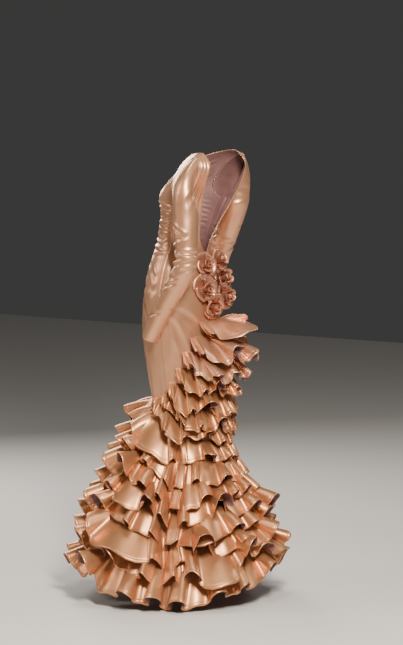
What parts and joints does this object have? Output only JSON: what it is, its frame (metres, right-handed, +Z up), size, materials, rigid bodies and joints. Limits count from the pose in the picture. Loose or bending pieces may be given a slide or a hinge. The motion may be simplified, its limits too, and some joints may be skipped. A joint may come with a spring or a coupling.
{
  "type": "flamenco dress",
  "caption": "Long fitted satin flamenco gown with long sleeves, an open back, fabric roses, a back cascade and flared ruffle tiers, in its hollow worn form.",
  "frame": {"origin": "midway between the two shoulder tops, level with the neck ends of the shoulder seams, where the wearer carries the gown", "axes": "+Z up, -Y to the front of the wearer, +X to the wearer's left"},
  "size_m": [0.8057, 0.8031, 1.5744],
  "materials": {
    "satin": "warm copper-peach duchess satin with a soft sheen",
    "deep_satin": "the same satin, a little more orange in the flounces, with a mauve-brown underside",
    "rose_satin": "rolled and folded satin petals, browner than the gown"
  },
  "bodies": {
    "root": {"front_panel": "satin", "back_panel_left": "satin", "back_panel_right": "satin", "sleeve_left": "satin", "sleeve_right": "satin", "cascade_1": "deep_satin", "cascade_2": "deep_satin", "cascade_3": "deep_satin", "cascade_4": "deep_satin", "cascade_5": "deep_satin", "cascade_6": "deep_satin", "cascade_7": "deep_satin", "tier_1a": "deep_satin", "tier_1b": "deep_satin", "tier_2a": "deep_satin", "tier_2b": "deep_satin", "tier_3a": "deep_satin", "tier_3b": "deep_satin", "tier_4a": "deep_satin", "tier_4b": "deep_satin", "tier_5a": "deep_satin", "tier_5b": "deep_satin", "tier_6a": "deep_satin", "tier_6b": "deep_satin", "tier_7a": "deep_satin", "tier_7b": "deep_satin", "tier_8a": "deep_satin", "tier_8b": "deep_satin", "rose_1": "rose_satin", "rose_2": "rose_satin", "rose_3": "rose_satin", "rose_4": "rose_satin", "rose_5": "rose_satin", "rose_6": "rose_satin"}
  },
  "joints": []
}
